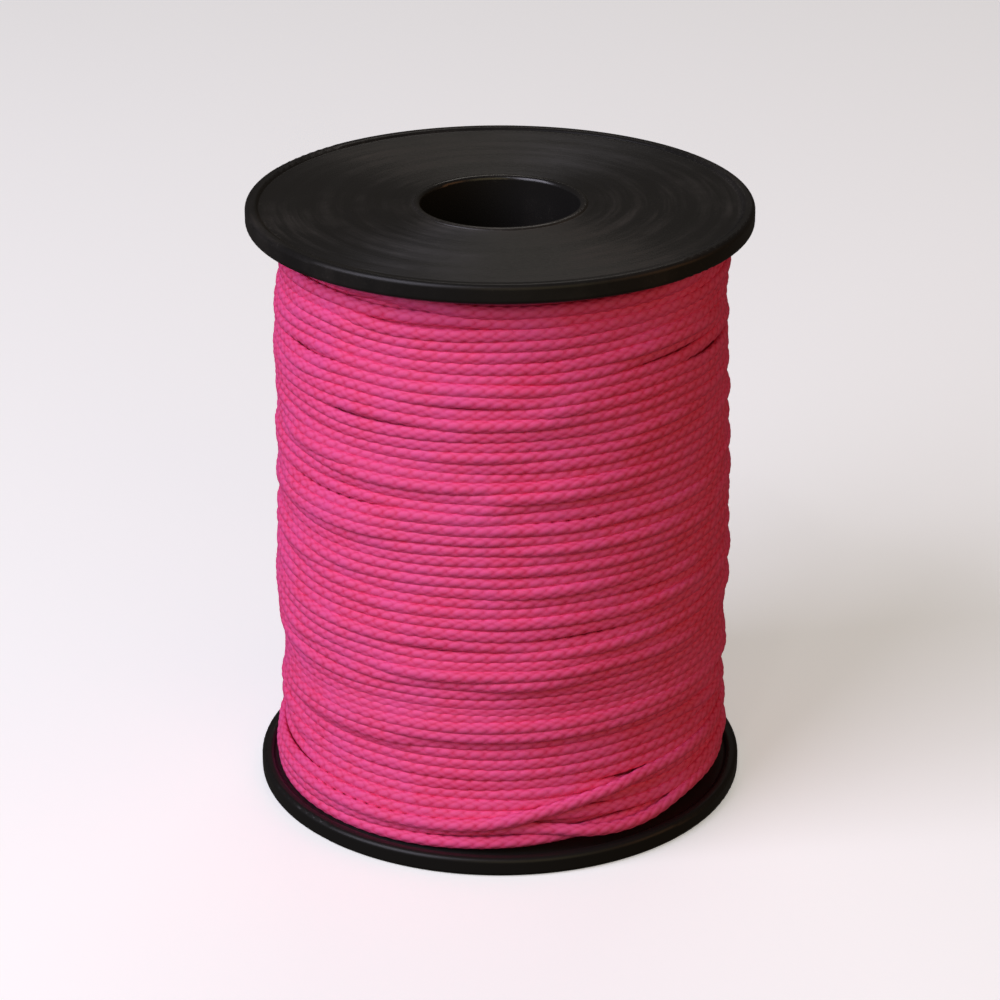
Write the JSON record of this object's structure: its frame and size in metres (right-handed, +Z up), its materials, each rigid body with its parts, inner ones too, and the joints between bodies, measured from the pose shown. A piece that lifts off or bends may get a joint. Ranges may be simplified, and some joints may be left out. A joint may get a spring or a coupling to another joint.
{
  "type": "fishing line spool",
  "caption": "Upright plastic spool with two beaded flanges plugged into a core tube, wound full with braided cord, with an axle bore.",
  "frame": {"origin": "centre of the flat surface that the spool stands on, on the axle bore's axis", "axes": "+Z runs up along the axle bore, from the lower flange to the upper flange; the two keys of each flange lie on X"},
  "size_m": [0.08, 0.08, 0.099],
  "materials": {
    "spool": "satin moulded black, gloss rim",
    "cord": "bright pink braided synthetic cord"
  },
  "bodies": {
    "root": {"upper_flange": "spool", "lower_flange": "spool", "core_tube": "spool", "cord_layer_01": "cord", "cord_layer_02": "cord", "cord_layer_03": "cord", "cord_layer_04": "cord", "cord_layer_05": "cord", "cord_layer_06": "cord", "cord_layer_07": "cord", "cord_layer_08": "cord", "cord_layer_09": "cord", "cord_layer_10": "cord", "cord_layer_11": "cord", "cord_last_turn": "cord", "cord_end": "cord"}
  },
  "joints": []
}
